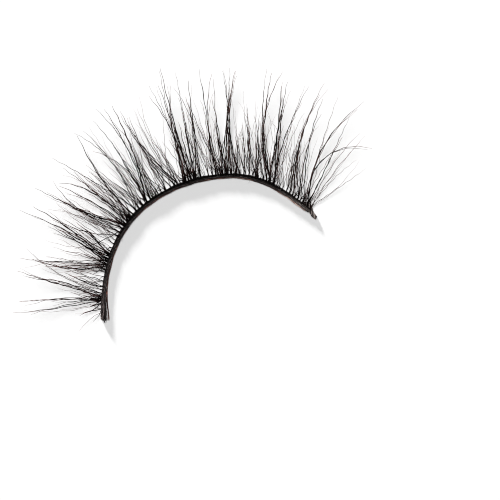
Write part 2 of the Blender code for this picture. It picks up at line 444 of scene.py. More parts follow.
# %% Make one mesh of many copies
def finished_mesh(name, points, faces, finish):
    """A smooth mesh object from points in millimetres."""
    mesh = bpy.data.meshes.new(name)
    mesh.from_pydata((np.asarray(points) * MM).tolist(), [], faces)
    mesh.shade_smooth()
    mesh.materials.append(finish)
    piece = bpy.data.objects.new(name, mesh)
    bpy.context.scene.collection.objects.link(piece)
    return piece


def copied_faces(faces, copies, size):
    """The faces of all copies, each copy's points following the last one's."""
    return [[corner + copy * size for corner in face] for copy in range(copies) for face in faces]


def report(piece):
    triangles = sum(len(polygon.vertices) - 2 for polygon in piece.data.polygons)
    sides = [round(side / MM, 1) for side in piece.dimensions]
    print(f"{piece.name}: {triangles} triangles, {sides} mm")


def keep_on_points(mesh, name, values):
    """One number on each point of the mesh, for its finish to read."""
    values = np.asarray(values, np.float32)
    mesh.attributes.new(name, "FLOAT", "POINT").data.foreach_set("value", values.ravel())


def corner_turns(corners, faces):
    """U for each corner of each face: its turn round the tube, going past 1 over the seam."""
    turn = np.arctan2(corners[:, 1], corners[:, 0]) / (2 * math.pi) % 1.0
    turns = []
    for face in faces:
        own = turn[face]
        if own.max() - own.min() > 0.5:
            own = np.where(own < 0.5, own + 1.0, own)
        turns.extend(own)
    return np.array(turns)


def keep_strand_map(mesh, corners, faces, heights):
    """The UV map, with U round the strand and V the distance along it; heights has a row a strand."""
    turns = corner_turns(corners, faces)
    flat = np.concatenate(faces)
    uv = np.empty((len(heights), len(flat), 2), np.float32)
    uv[:, :, 0] = turns
    uv[:, :, 1] = heights[:, flat]
    mesh.uv_layers.new(name="strand").data.foreach_set("uv", uv.ravel())


# %% Lay strands along lines
UPRIGHT = np.array([0.0, 0.0, 1.0])


def unit(vectors):
    return vectors / np.linalg.norm(vectors, axis=-1, keepdims=True)


def lay_strands(name, pattern, lines, radii, tones, finish):
    """One mesh of strands. Each line has a point for each ring of the pattern, in millimetres."""
    corners, faces = pattern
    lines = np.asarray(lines, float)
    radii = np.broadcast_to(radii, lines.shape[:2])
    ring = np.rint(corners[:, 2]).astype(int)
    ahead = unit(np.gradient(lines, axis=1))
    side = np.empty_like(lines)
    side[:, 0] = unit(np.cross(ahead[:, 0], UPRIGHT))
    for step in range(1, lines.shape[1]):
        carried = side[:, step - 1]
        against = np.sum(carried * ahead[:, step], axis=-1, keepdims=True) * ahead[:, step]
        side[:, step] = unit(carried - against)
    other = np.cross(ahead, side)
    around = corners[:, :1] * side[:, ring] + corners[:, 1:2] * other[:, ring]
    points = lines[:, ring] + around * radii[:, ring, None]
    count, size = points.shape[:2]
    piece = finished_mesh(name, points.reshape(-1, 3), copied_faces(faces, count, size), finish)
    share = ring / ring.max()
    lengths = np.linalg.norm(np.diff(lines, axis=1), axis=-1).sum(axis=1)
    keep_strand_map(piece.data, corners, faces, lengths[:, None] * share)
    keep_on_points(piece.data, "along", np.broadcast_to(share, (count, size)))
    tones = np.asarray(tones, float).reshape(count, -1)
    keep_on_points(piece.data, "tone", np.broadcast_to(tones, lines.shape[:2])[:, ring])
    report(piece)
    return piece


# %% [markdown]
# ## The cord's core
#
# Under its plies the cotton cord is one soft body with a flat foot, which is where the glue goes.
# It is planned straight: an eight-sided section is set at its left end, extruded step by step, and
# given a rounded edge with a Bevel modifier. Only then is it bent along the arch. It is a little
# thinner than the real cord, because the plies that are seen lie on top of it.
#
# A soft cord isn't the same all along: this one is fuller at both ends, where the twist opens.
# A short table says how much wider and higher it is at a few places and how far it strays
# sideways, and np.interp reads between its rows. Core and plies go through the same function, so
# they keep together.

# %% Section, and how the cord changes along its length
CORE_SECTION = (
    # out, up
    (-0.15, 0.00),
    (0.12, 0.00),
    (0.15, 0.09),
    (0.15, 0.22),
    (0.10, 0.32),
    (-0.06, 0.33),
    (-0.16, 0.26),
    (-0.18, 0.12),
)
CORE_STEP = 0.4
CORD_CHANGES = np.array((
    # at, width and height (1 is as planned), shift outwards (mm)
    (0.0, 1.22, 1.35, 0.05),
    (3.0, 1.06, 1.20, 0.08),
    (5.5, 1.00, 1.05, 0.00),
    (25.0, 1.00, 1.00, 0.00),
    (29.5, 1.00, 1.10, -0.01),
    (32.0, 1.22, 1.25, -0.09),
    (34.0, 1.30, 1.30, -0.12),
))


def cord_change(at, column):
    return np.interp(at, CORD_CHANGES[:, 0], CORD_CHANGES[:, column])


def on_cord(at, out, up):
    """A place on the cord, which is wider and higher at its two ends and wanders a little."""
    return beside_arch(at, out * cord_change(at, 1) + cord_change(at, 3), up * cord_change(at, 2))


# %% Extrude the core, round its edges and bend it
CORE_ROUNDING = 0.05 * MM

bpy.ops.mesh.primitive_circle_add(vertices=len(CORE_SECTION), radius=MM, fill_type="NGON")
core = bpy.context.object
for vertex, (out, up) in zip(core.data.vertices, CORE_SECTION):
    vertex.co = (0.0, out * MM, up * MM)
steps = round(band_length / CORE_STEP)
bpy.ops.object.mode_set(mode="EDIT")
bpy.ops.mesh.select_all(action="SELECT")
for _ in range(steps):
    bpy.ops.mesh.extrude_region_move(
        TRANSFORM_OT_translate={"value": (band_length / steps * MM, 0.0, 0.0)}
    )
bpy.ops.mesh.select_all(action="SELECT")
bpy.ops.mesh.normals_make_consistent(inside=False)
bpy.ops.object.mode_set(mode="OBJECT")
rounding = core.modifiers.new("round_edges", "BEVEL")
rounding.width = CORE_ROUNDING
rounding.segments = 2
rounding.limit_method = "ANGLE"
bpy.ops.object.modifier_apply(modifier=rounding.name)
straight = np.array([vertex.co for vertex in core.data.vertices]) / MM
faces = [list(polygon.vertices) for polygon in core.data.polygons]
bpy.data.meshes.remove(core.data)
at, out, up = straight.T
bent = on_cord(at, out, up)
cord_core = finished_mesh("cotton_cord_core", bent, faces, cotton_finish)
keep_on_points(cord_core.data, "along", np.clip(at / band_length, 0.0, 1.0))
keep_on_points(cord_core.data, "tone", np.full(len(at), 0.3))
core_uv = np.array([(out[c] * 3.0, at[c]) for face in faces for c in face], np.float32)
cord_core.data.uv_layers.new(name="strand").data.foreach_set("uv", core_uv.ravel())
report(cord_core)

# %% [markdown]
# ## The cotton plies
#
# Seen close, the cord is a bundle of plies that run lengthwise, and each ply is twisted from fine
# fibres. A bump in the material would give the stripes, but not the soft, uneven outline and the
# loose ends, so each fibre is a strand of its own that winds round the middle of its ply.
#
# The dye has worn off in places, mostly near the two ends. Each ply has a row that says how light
# it is at eight places along the band, and every ring of a fibre is then made a little lighter or
# darker at random, which gives the flecks of worn cotton.

# %% Wind the fibres of every ply
rng = np.random.default_rng(31)
PLY_STATIONS = (0.0, 1.5, 3.5, 7.5, 14.0, 22.0, 28.5, 32.8)
PLIES = (
    # out, up of the ply's middle, then how light its cotton is at those places along the band
    (-0.200, 0.100, (1.6, 1.6, 3.8, 1.4, 1.3, 1.3, 1.5, 4.6)),
    (-0.178, 0.235, (1.2, 1.3, 3.2, 1.2, 1.2, 1.2, 1.4, 4.0)),
    (-0.085, 0.320, (1.0, 1.0, 1.2, 1.0, 0.8, 0.8, 0.7, 3.4)),
    (0.015, 0.345, (5.0, 4.4, 1.8, 1.3, 0.1, 0.1, 0.5, 2.6)),
    (0.100, 0.290, (7.0, 7.0, 3.2, 1.4, 0.1, 0.1, 0.4, 1.2)),
    (0.145, 0.185, (7.0, 7.0, 3.4, 1.4, 0.1, 0.1, 0.5, 1.2)),
    (0.130, 0.080, (7.0, 7.0, 3.4, 1.4, 0.1, 0.1, 0.5, 1.2)),
)
PLY_FIBRES = 7
PLY_RADIUS = 0.050
PLY_PITCH = 1.7
FIBRE_RADIUS = 0.030
FIBRE_RINGS = 190
WANDER = 0.030
CUT_SLANT = 0.2
FLECKS = 0.55

fibre_pattern = strand_pattern(5, FIBRE_RINGS)


def ply_fibres(out, up, pitch):
    """Lines of the fibres that wind round one ply. The cord's left end is cut at a slant."""
    lines = []
    phase = rng.uniform(0, 2 * math.pi, 3)
    for fibre in range(PLY_FIBRES):
        start = CUT_SLANT * out + rng.normal(0, 0.05)
        end = band_length - 1.1 * (out + 0.05) + rng.uniform(-0.12, 0.12)
        at = np.linspace(start, end, FIBRE_RINGS)
        turn = 2 * math.pi * (at / pitch + fibre / PLY_FIBRES) + 0.6 * np.sin(at * 0.9 + phase[0])
        loose = 1.0 + 0.3 * np.sin(at * 1.7 + phase[1] + fibre)
        shift = np.sin(at * 0.7 + phase[2]) + 0.6 * np.sin(at * 2.3 + phase[0]) + 0.4 * np.sin(at * 5.1)
        outwards = out + WANDER * shift + PLY_RADIUS * loose * np.cos(turn)
        upwards = np.maximum(up + PLY_RADIUS * loose * np.sin(turn), FIBRE_RADIUS * 1.1)
        lines.append(on_cord(at, outwards, upwards))
    return lines


fleck = np.random.default_rng(12)
fibre_lines = []
fibre_tones = []
for number, (out, up, light) in enumerate(PLIES):
    fibre_lines += ply_fibres(out, up, PLY_PITCH * (1 + 0.12 * math.sin(2.1 * number)))
    light_along = np.interp(np.linspace(0.0, band_length, FIBRE_RINGS), PLY_STATIONS, light)
    patchy = fleck.lognormal(0.0, FLECKS, (PLY_FIBRES, FIBRE_RINGS))
    fibre_tones += list(rng.lognormal(0.0, 0.35, (PLY_FIBRES, 1)) * light_along * patchy)
cotton_plies = lay_strands(
    "cotton_plies", fibre_pattern, fibre_lines, FIBRE_RADIUS, fibre_tones, cotton_finish
)

# %% [markdown]
# ## Root thread and knots
#
# The hairs aren't glued into the cord: a few at a time are knotted on a thin thread that runs on
# the cord's outer edge. The thread is two twisted strands. A knot is a loop that is pulled tight
# round it, so a torus is the right primitive, flattened a little, and the same torus is set in
# place again and again, each time tilted and sized a bit differently.
#
# The knots aren't spread evenly. Where the hair is thick they sit close together, so the table of
# tufts comes first, and the gap to the next knot shrinks near each tuft that has tangled hairs.

# %% Twist the root thread
ROOT_OUT = np.array((
    # at, out
    (0.0, 0.27),
    (2.0, 0.25),
    (5.5, 0.15),
    (10.0, 0.095),
    (26.0, 0.085),
    (29.0, 0.06),
    (34.0, 0.03),
))
ROOT_UP = 0.41
ROOT_TWIST = 0.032
ROOT_STRAND = 0.034
ROOT_PITCH = 0.9
ROOT_END = 33.9


def on_root(at, out, up):
    """A place beside the middle of the root thread."""
    root = np.interp(at, ROOT_OUT[:, 0], ROOT_OUT[:, 1])
    return beside_arch(at, root + out, ROOT_UP * cord_change(at, 2) + up)


root_lines = []
for phase in (0.0, math.pi):
    at = np.linspace(0.25, ROOT_END, FIBRE_RINGS)
    turn = 2 * math.pi * at / ROOT_PITCH + phase
    lift = 0.02 * np.sin(at * 1.3)
    root_lines.append(on_root(at, ROOT_TWIST * np.cos(turn), lift + ROOT_TWIST * np.sin(turn)))
root_thread = lay_strands(
    "root_thread", fibre_pattern, root_lines, ROOT_STRAND, (0.4, 0.6), root_finish
)

# %% Where the hair is tied densely
TUFTS = (
    # at, spread (mm), short hairs, tangled hairs
    (1.2, 0.15, 2, 1),
    (2.2, 0.30, 8, 14),
    (4.0, 0.50, 4, 0),
    (5.6, 0.30, 5, 3),
    (6.2, 0.35, 7, 12),
    (7.1, 0.40, 6, 5),
    (9.0, 0.60, 3, 0),
    (9.9, 0.30, 4, 3),
    (10.7, 0.30, 5, 5),
    (11.5, 0.30, 7, 12),
    (13.3, 0.45, 6, 2),
    (14.2, 0.35, 5, 2),
    (15.2, 0.35, 5, 10),
    (16.8, 0.30, 4, 0),
    (18.2, 0.40, 5, 3),
    (19.2, 0.35, 8, 13),
    (20.1, 0.30, 5, 9),
    (21.5, 0.40, 4, 0),
    (22.4, 0.35, 3, 3),
    (23.3, 0.35, 9, 15),
    (24.2, 0.35, 6, 8),
    (26.0, 0.40, 4, 0),
    (27.0, 0.30, 6, 7),
    (27.8, 0.25, 4, 4),
    (28.5, 0.30, 5, 7),
    (30.0, 0.50, 4, 0),
    (31.0, 0.35, 5, 3),
    (32.3, 0.25, 3, 6),
    (33.1, 0.25, 1, 3),
)
print("short hairs:", sum(row[2] for row in TUFTS), "tangled hairs:", sum(row[3] for row in TUFTS))

# %% Model a knot and tie it along the thread
KNOT_GAP = 0.46
TUFT_GAP = 0.24
TUFT_REACH = 0.7
KNOT_RADIUS = 0.074
KNOT_WRAPS = (-0.06, 0.0, 0.06)

knot_places = [0.35]
while knot_places[-1] < ROOT_END - 0.2:
    away = [(knot_places[-1] - row[0]) / TUFT_REACH for row in TUFTS]
    dense = max(math.exp(-(far**2)) * min(row[3] / 6, 1) for far, row in zip(away, TUFTS))
    gap = KNOT_GAP + (TUFT_GAP - KNOT_GAP) * dense
    knot_places.append(knot_places[-1] + gap * rng.uniform(0.7, 1.3))
knot_places = np.array(knot_places[:-1])

bpy.ops.mesh.primitive_torus_add(
    major_segments=12, minor_segments=6, major_radius=1.0, minor_radius=0.42
)
loop = bpy.context.object
bpy.ops.object.mode_set(mode="EDIT")
bpy.ops.mesh.select_all(action="SELECT")
bpy.ops.transform.resize(value=(1.12, 0.92, 1.0))
bpy.ops.object.mode_set(mode="OBJECT")
loop_corners, loop_faces = take_pattern(loop)

knot_points = []
for place in knot_places:
    along, out = directions(place)
    size = KNOT_RADIUS * rng.uniform(0.75, 1.35)
    lift = 0.02 * math.sin(place * 1.3)
    for wrap in KNOT_WRAPS:
        lean = rng.normal(0, 0.25)
        axis_along = np.append(along * math.cos(lean) + out * math.sin(lean), 0.0)
        axis_out = np.append(out * math.cos(lean) - along * math.sin(lean), 0.0)
        turned = loop_corners @ np.array([axis_out, UPRIGHT, axis_along])
        knot_points.append(on_root(place + wrap, 0.0, lift) + size * turned)
knot_points = np.array(knot_points)
root_knots = finished_mesh(
    "root_knots",
    knot_points.reshape(-1, 3),
    copied_faces(loop_faces, len(knot_points), len(loop_corners)),
    root_finish,
)
knot_along = np.repeat(knot_places / band_length, len(KNOT_WRAPS) * len(loop_corners))
knot_tones = np.repeat(rng.uniform(0, 1, len(knot_points)), len(loop_corners))
keep_on_points(root_knots.data, "along", knot_along)
keep_on_points(root_knots.data, "tone", knot_tones)
keep_strand_map(
    root_knots.data,
    loop_corners,
    loop_faces,
    np.broadcast_to(loop_corners[:, 2] * KNOT_RADIUS, knot_points.shape[:2]),
)
report(root_knots)

# %% [markdown]
# ## How a hair runs
#
# Hairs on such a strip don't stand in even rows. They are stuck together into wispy points: roots
# that stand apart come together halfway, run side by side, and part again at their tips. Particle
# hair would be a quick way to get many strands, but not these points in these places, so each
# point of the real strip has a row in a table. A row says where it stands on the band, how it
# leans, how far it reaches, how it bends sideways, how many hairs it has and how wide they stand
# side by side. A second, shorter table is for the thin hairs that stand alone between the points.

# %% The points of hair, fan by fan
FAN_EDGES = (0.3, 4.3, 8.0, 11.1, 13.8, 16.2, 18.9, 21.4, 24.9, 27.5, 30.2, 32.6, 34.0)
POINTS = (
    # at, lean, reach, turn, hairs, width
    (0.6, -41, 3.0, -40, 1, 0.0),
    (1.2, -19, 2.4, -15, 3, 0.25),
    (1.5, -8, 4.4, -6, 1, 0.0),
    (2.2, -13, 9.5, 2, 2, 0.12),
    (2.4, -6, 8.8, -3, 4, 0.3),
    (2.5, 14, 9.3, 4, 3, 0.35),
    (2.5, 14, 8.1, -14, 3, 0.35),
    (2.8, 27, 9.4, 23, 2, 0.25),
    (3.4, 19, 4.3, -6, 3, 0.9),
    (4.8, -50, 2.2, 0, 1, 0.0),
    (5.4, -14, 5.2, 4, 2, 0.35),
    (5.8, -6, 7.9, 38, 3, 0.3),
    (6.0, -11, 9.3, 2, 4, 0.35),
    (6.2, -1, 5.0, -27, 2, 0.4),
    (6.5, 15, 7.2, 0, 3, 0.5),
    (6.7, 12, 10.8, -16, 5, 0.6),
    (6.9, 17, 9.6, -10, 3, 0.4),
    (7.2, 24, 4.9, -28, 3, 0.5),
    (8.4, 3, 7.8, -50, 2, 0.5),
    (9.0, 10, 7.3, -20, 2, 0.7),
    (10.1, 3, 8.8, 44, 4, 0.45),
    (10.4, -8, 10.1, 13, 6, 0.5),
    (10.6, 0, 8.2, -65, 4, 0.4),
    (10.6, -2, 8.0, -16, 4, 0.4),
    (11.5, 13, 6.5, -26, 4, 0.5),
    (11.7, -1, 8.9, 0, 4, 0.5),
    (12.3, -7, 10.5, -12, 3, 0.45),
    (12.5, 11, 10.2, 27, 3, 0.45),
    (13.2, 3, 10.4, -45, 4, 0.45),
    (13.3, -7, 6.0, -4, 4, 0.6),
    (14.1, -10, 7.7, -63, 3, 0.5),
    (14.5, 7, 11.1, -33, 3, 0.5),
    (14.6, 2, 10.2, -6, 4, 0.55),
    (14.8, 13, 10.6, -5, 4, 0.5),
    (15.5, 7, 7.2, 10, 3, 0.5),
    (16.8, -1, 8.6, 17, 4, 0.4),
    (18.0, -7, 9.3, 19, 2, 0.25),
    (18.2, -16, 9.9, 35, 6, 0.6),
    (18.6, -7, 10.2, 33, 2, 0.3),
    (19.2, -3, 10.7, -17, 4, 0.5),
    (19.3, 6, 12.2, 9, 6, 0.6),
    (19.4, 3, 12.0, 8, 5, 0.6),
    (19.5, 7, 6.2, -4, 4, 0.6),
    (20.3, 4, 11.3, 2, 5, 0.5),
    (20.5, 8, 10.3, -1, 5, 0.5),
    (22.1, 1, 11.3, 1, 3, 0.4),
    (22.8, 1, 10.7, 35, 3, 0.4),
    (22.9, -21, 8.4, -3, 3, 0.6),
    (23.2, -3, 10.1, 5, 5, 0.45),
    (23.7, 3, 11.2, 5, 12, 0.55),
    (24.6, -4, 10.4, 35, 4, 0.4),
    (25.1, -15, 4.3, 7, 4, 0.6),
    (25.5, -12, 5.2, -4, 3, 0.5),
    (26.2, -14, 7.7, 8, 5, 0.35),
    (26.9, -14, 6.9, 10, 5, 0.5),
    (28.2, -16, 11.7, 54, 3, 0.3),
    (28.4, -27, 12.0, 22, 5, 0.5),
    (28.7, -18, 10.9, 8, 6, 0.55),
    (29.1, -24, 10.5, 9, 3, 0.4),
    (29.2, -11, 11.0, 22, 4, 0.5),
    (30.7, -14, 12.1, 24, 6, 0.55),
    (31.5, -55, 9.2, -38, 1, 0.0),
    (31.9, -32, 6.8, 24, 4, 0.5),
    (32.3, -24, 11.0, 24, 3, 0.45),
    (32.9, -19, 11.9, 7, 2, 0.35),
    (33.0, -6, 12.5, 52, 3, 0.4),
    (33.1, -9, 10.5, 3, 3, 0.45),
    (33.2, 14, 9.1, 121, 2, 0.1),
    (33.3, -2, 9.5, 12, 2, 0.35),
    (33.4, 2, 9.6, 0, 2, 0.3),
    (33.6, 7, 7.1, 8, 1, 0.0),
    (33.6, 11, 7.2, -31, 1, 0.0),
    (33.9, 18, 7.1, 0, 2, 0.25),
)
LONE_HAIRS = (
    # from, to along the band, lean and reach there, how many
    (2.8, 5.2, 30, 4, 3.0, 6.0, 5),
    (8.0, 9.8, 6, 2, 4.0, 8.0, 5),
    (12.0, 14.0, 2, -4, 4.0, 8.0, 4),
    (15.8, 18.0, 5, -10, 4.0, 8.0, 6),
    (20.7, 22.6, -20, -16, 5.0, 8.5, 9),
    (24.2, 27.6, -4, -14, 5.0, 9.0, 14),
    (29.0, 31.6, -16, -20, 5.0, 9.0, 9),
)
print("points of hair:", len(POINTS))
print("lone hairs:", sum(row[-1] for row in LONE_HAIRS))

# %% The middle line of a point of hair
HAIR_RINGS = 36
LOW_RISE = 6.0
HIGH_RISE = 11.5
CURL_RADIUS = 21.0
LEAVE_OUT = 0.38
LEAVE_UP = 0.50
shares = np.linspace(0.0, 1.0, HAIR_RINGS)


def curled_line(at, lean, reach, turn, rise, curl):
    """Seen from above an arc that ends at its reach; from the side a slope that grows steadily."""
    along, out = directions(at)
    half_turn = math.radians(turn) / 2
    length = reach * (half_turn / math.sin(half_turn) if turn else 1.0)
    step = length / (HAIR_RINGS - 1)
    middle = (np.arange(HAIR_RINGS - 1) + 0.5) / (HAIR_RINGS - 1)
    heading = math.radians(lean) + half_turn * (2 * middle - 1)
    plan = np.outer(np.cos(heading), out) + np.outer(np.sin(heading), along)
    climb = np.tan(np.arcsin(math.sin(math.radians(rise)) + middle * length / curl))
    moves = np.column_stack([plan, climb]) * step
    return beside_arch(at, LEAVE_OUT, LEAVE_UP) + np.vstack([np.zeros(3), np.cumsum(moves, axis=0)])


# %% [markdown]
# One hair starts from its own knot, joins the middle line of its point, and leaves it near the
# tip. Two smooth weights do this: one fades from 1 to 0 where the hair is gathered, and the other
# grows from 0 to 1 over its last part. A little slow waviness keeps it from looking ruled.
#
# Within a point, two of every three hairs stick together as a string and the third is alone.
# STRING_OF says which string each hair belongs to. A string looks full and black, while a hair
# alone is so thin that light comes through it red-brown. So they differ in thickness, and a hair
# alone is given a lighter red-brown colour: painted light that stands for the light shining through it.

# %% Shape one hair of a point
ROOT_SPREAD = 0.20
SPREAD_PER_HAIR = 0.075
SPREAD_LIMIT = 0.12  # of the reach
GATHERED = (0.35, 0.75)
REACH_SHARE = (0.55, 1.0)
NARROW = (0.35, 0.75, 0.75)  # from, to and by how much a point narrows towards its tip
FLARE = 0.60
FLARE_UPWARDS = 0.45
FLARE_FROM = 0.55
WAVE = 0.040
WAVE_LENGTH = 1.8
STRING_OF = (0, 0, 1, 2, 2, 3, 4, 4, 5, 6, 6, 7)
STUCK = 0.025
STRING_RADIUS = 0.045
LONE_RADIUS = 0.025
STRING_TONE = (0.1, 0.5)
# painted light: the tone of a hair alone is far lighter, standing for the light that shines through it
LONE_SHINE_THROUGH_TONE = (3.5, 7.0)


def nearest_knot(at):
    return knot_places[np.argmin(np.abs(knot_places - at))] + rng.normal(0, 0.06)


def shaped_hair(middle, at, root_at, lean, part, gathered, flare, close):
    """A hair's line: from its own root, beside the middle line for a while, then out in its flare."""
    reached = shares * part
    line = places_on(middle, shares, reached)
    along, out = directions(at)
    angle = math.radians(lean)
    across = np.append(along * math.cos(angle) - out * math.sin(angle), 0.0)
    fading = np.clip(1.0 - reached / gathered, 0.0, 1.0) ** 1.4
    narrowing = np.clip((reached - NARROW[0]) / (NARROW[1] - NARROW[0]), 0.0, 1.0)
    beside = (1.0 - fading) * (1.0 - NARROW[2] * narrowing)
    leaving = np.clip((reached - FLARE_FROM) / (1.0 - FLARE_FROM), 0.0, 1.0) ** 1.5
    length = part * np.linalg.norm(middle[-1] - middle[0])
    phase = 2 * math.pi * (shares * length / (WAVE_LENGTH * rng.uniform(0.7, 1.6)) + rng.uniform(0, 1))
    free = WAVE * np.clip(shares * 6, 0, 1)
    root_shift = beside_arch(root_at, LEAVE_OUT, LEAVE_UP) - middle[0]
    line = line + np.outer(fading, root_shift)
    sideways = close[0] * beside + flare[0] * leaving + free * np.sin(phase)
    upwards = close[1] * beside + FLARE_UPWARDS * flare[1] * leaving + free * np.cos(phase)
    line = line + np.outer(sideways, across)
    line = line + np.outer(upwards, UPRIGHT)
    line[0] = on_root(root_at, 0.02, 0.03)
    return line


def thickness_and_tone(stuck):
    """Hairs that stick together are dark and full; a hair alone is thin and painted lighter red-brown
    for the light shining through it.
    """
    size = float(np.clip(rng.lognormal(0.0, 0.22), 0.65, 1.5))
    if stuck:
        tone = rng.uniform(*STRING_TONE) * np.interp(shares, (0.0, 0.5, 1.0), (1, 1, 12))
        return STRING_RADIUS * size, tone
    # painted light: a hair alone gets a lighter red-brown tone, darker near the root, for the light
    # that shines through it
    tone = rng.uniform(*LONE_SHINE_THROUGH_TONE) * np.interp(shares, (0.0, 0.2, 1.0), (0.3, 1, 1))
    return LONE_RADIUS * size, tone


def point_of_hair(row, rise):
    """All hairs of one point: for each its line, its radius and its tone."""
    at, lean, reach, turn, hairs, width = row
    spread = min(ROOT_SPREAD + SPREAD_PER_HAIR * hairs, SPREAD_LIMIT * reach)
    root_places = rng.permutation((np.arange(hairs) + 0.5) / hairs - 0.5)
    apart = hairs == 2 and width > 0.2
    string_of = (0, 1) if apart else STRING_OF[:hairs]
    strings = string_of[-1] + 1
    string_places = rng.permutation((np.arange(strings) + 0.5) / strings - 0.5)
    strands = []
    for hair, string in enumerate(string_of):
        middle = curled_line(
            at, lean, reach, turn, rise + rng.normal(0, 1.5), CURL_RADIUS * rng.uniform(0.92, 1.15)
        )
        root_at = nearest_knot(at + 2 * spread * root_places[hair] + rng.normal(0, 0.25 * spread))
        part = 1.0 if hair == 0 else rng.uniform(*REACH_SHARE)
        flare = rng.normal(0, FLARE * reach / 10, 2) * (0.3 if hair == 0 else 1.0)
        close = (width * string_places[string] + rng.normal(0, STUCK), rng.normal(0, 0.25 * width))
        line = shaped_hair(middle, at, root_at, lean, part, rng.uniform(*GATHERED), flare, close)
        strands.append((line, *thickness_and_tone(string_of.count(string) > 1)))
    return strands


# %% [markdown]
# Between the long points there is an under-layer of short hairs. Most of them lean towards the
# nearest long point and cling to it, and the rest stand in between. At a tuft very short ones lean
# all ways, and near the band they make the dark tangle with small light gaps. Last come thin
# single hairs all along each fan, which fill the spaces with a light veil. Every other fan rises
# more steeply, so that neighbours pass over each other.

# %% Shape the short hairs of a fan
SHORT_REACH = (2.0, 7.0)
CLINGING = 0.6
CLING_JITTER = 7.0
STANDING_JITTER = 15.0
TANGLED_REACH = (0.5, 1.7)
TANGLED_JITTER = 32.0
DARK_SHARE = 0.35
LONG_REACH = 5.5
FINE_PER_MM = 1.3
FINE_REACH = (3.5, 8.5)
FINE_FROM = 1.5
SHORT_THINNER = 0.80


def short_hair(at, long_rows, rise):
    """One short hair: it clings to a long point nearby, or stands in between."""
    reach = rng.uniform(*SHORT_REACH)
    if rng.random() < CLINGING:
        target = min(long_rows, key=lambda row: abs(row[0] - at) + rng.uniform(0, 1.0))
        goal = curled_line(*target[:4], rise, CURL_RADIUS)
        goal = goal[int(HAIR_RINGS * min(0.9, reach / target[2]))]
        along, out = directions(at)
        way = goal[:2] - beside_arch(at, LEAVE_OUT, LEAVE_UP)[:2]
        lean = math.degrees(math.atan2(way @ along, way @ out)) + rng.normal(0, CLING_JITTER)
    else:
        lean = np.mean([row[1] for row in long_rows]) + rng.normal(0, STANDING_JITTER)
    dark = rng.random() < DARK_SHARE
    return small_hair(at, lean, reach, rng.normal(0, 18), rise + rng.normal(0, 4), dark)


def small_hair(at, lean, reach, turn, rise, dark):
    middle = curled_line(at, lean, reach, turn, rise, CURL_RADIUS * 0.9)
    line = shaped_hair(middle, at, at, lean, 1.0, 0.5, rng.normal(0, 0.1, 2), rng.normal(0, 0.02, 2))
    radius, tone = thickness_and_tone(dark)
    return line, radius * SHORT_THINNER, tone


def lone_hairs(first, last, rise):
    """The thin hairs that stand alone between the points of one fan."""
    strands = []
    for start, end, lean_from, lean_to, shortest, longest, hairs in LONE_HAIRS:
        for share in (np.arange(hairs) + 0.5) / hairs:
            at = nearest_knot(start + (end - start) * share)
            lean = lean_from + (lean_to - lean_from) * share + rng.normal(0, 7)
            reach, turn = rng.uniform(shortest, longest), rng.normal(0, 22)
            if first <= at < last:
                strands.append(small_hair(at, lean, reach, turn, rise + rng.normal(0, 2), False))
    return strands


def fine_hairs(first, last, rows, rise):
    """Thin single hairs all along a fan, leaning about as its long points do."""
    places, leans = zip(*sorted(row[:2] for row in rows if row[2] > LONG_REACH))
    strands = []
    for at in map(nearest_knot, np.arange(max(first, FINE_FROM), last, 1.0 / FINE_PER_MM)):
        lean = np.interp(at, places, leans) + rng.normal(0, 9)
        reach, turn = rng.uniform(*FINE_REACH), rng.normal(0, 22)
        strands.append(small_hair(at, lean, reach, turn, rise + rng.normal(0, 2), False))
    return strands


def short_hairs(first, last, rows, rise):
    long_rows = [row for row in rows if row[2] > LONG_REACH]
    strands = []
    for centre, spread, short, tangled in TUFTS:
        if first <= centre < last:
            places = np.clip(rng.normal(centre, spread, short + tangled), first, last)
            for at in map(nearest_knot, places[:short]):
                strands.append(short_hair(at, long_rows, rise))
            for at in map(nearest_knot, places[short:]):
                lean = 0.6 * np.mean([row[1] for row in long_rows]) + rng.normal(0, TANGLED_JITTER)
                reach = rng.uniform(*TANGLED_REACH)
                turn = rng.normal(0, 25)
                strands.append(small_hair(at, lean, reach, turn, rise + rng.normal(0, 8), True))
    return strands


# %% Make the twelve fans
TIP_SHARE = 0.20
taper = np.interp(shares, (0.0, 0.12, 0.55, 0.8, 1.0), (1.15, 0.95, 0.88, 0.64, TIP_SHARE))

hair_pattern = strand_pattern(5, HAIR_RINGS)
fan_plans = []
for number, (first, last) in enumerate(zip(FAN_EDGES, FAN_EDGES[1:]), 1):
    rows = [row for row in POINTS if first <= row[0] < last]
    fan_plans.append((first, last, rows, HIGH_RISE if number % 2 else LOW_RISE))
strands_of_fan = []
for first, last, rows, rise in fan_plans:
    strands = [strand for row in rows for strand in point_of_hair(row, rise)]
    strands += lone_hairs(first, last, rise) + short_hairs(first, last, rows, rise)
    strands_of_fan.append(strands)
for strands, plan in zip(strands_of_fan, fan_plans):
    strands += fine_hairs(*plan)

fans_of_hair = []
for number, strands in enumerate(strands_of_fan, 1):
    lines, thick, tones = zip(*strands)
    fan = lay_strands(
        f"lash_hairs_{number:02d}", hair_pattern, lines, np.outer(thick, taper), tones, hair_finish
    )
    fans_of_hair.append(fan)
print("hairs:", sum(map(len, strands_of_fan)))

# %% [markdown]
# ## Loose ends
#
# The two ends of the band tell how it was cut. On the left the cord is cut nearly square and a
# thin thread has split off on its inner side, with a few fibre ends that stick out of the cut. On
# the right the cord runs out into a thin grey-brown tail that bends aside. A red-brown thread also
# runs along the inner edge of the cord, and near the right end it is painted pale in places: a
# painted highlight along that edge.

# %% The tail on the right
TAIL_LINE = (
    (13.30, -7.86, 0.36),
    (13.47, -8.25, 0.34),
    (13.45, -8.66, 0.29),
    (13.40, -9.06, 0.26),
    (13.46, -9.46, 0.24),
    (13.59, -9.84, 0.23),
)
TAIL_RINGS = 30
TAIL_FIBRES = 26
TAIL_RADIUS = 0.225

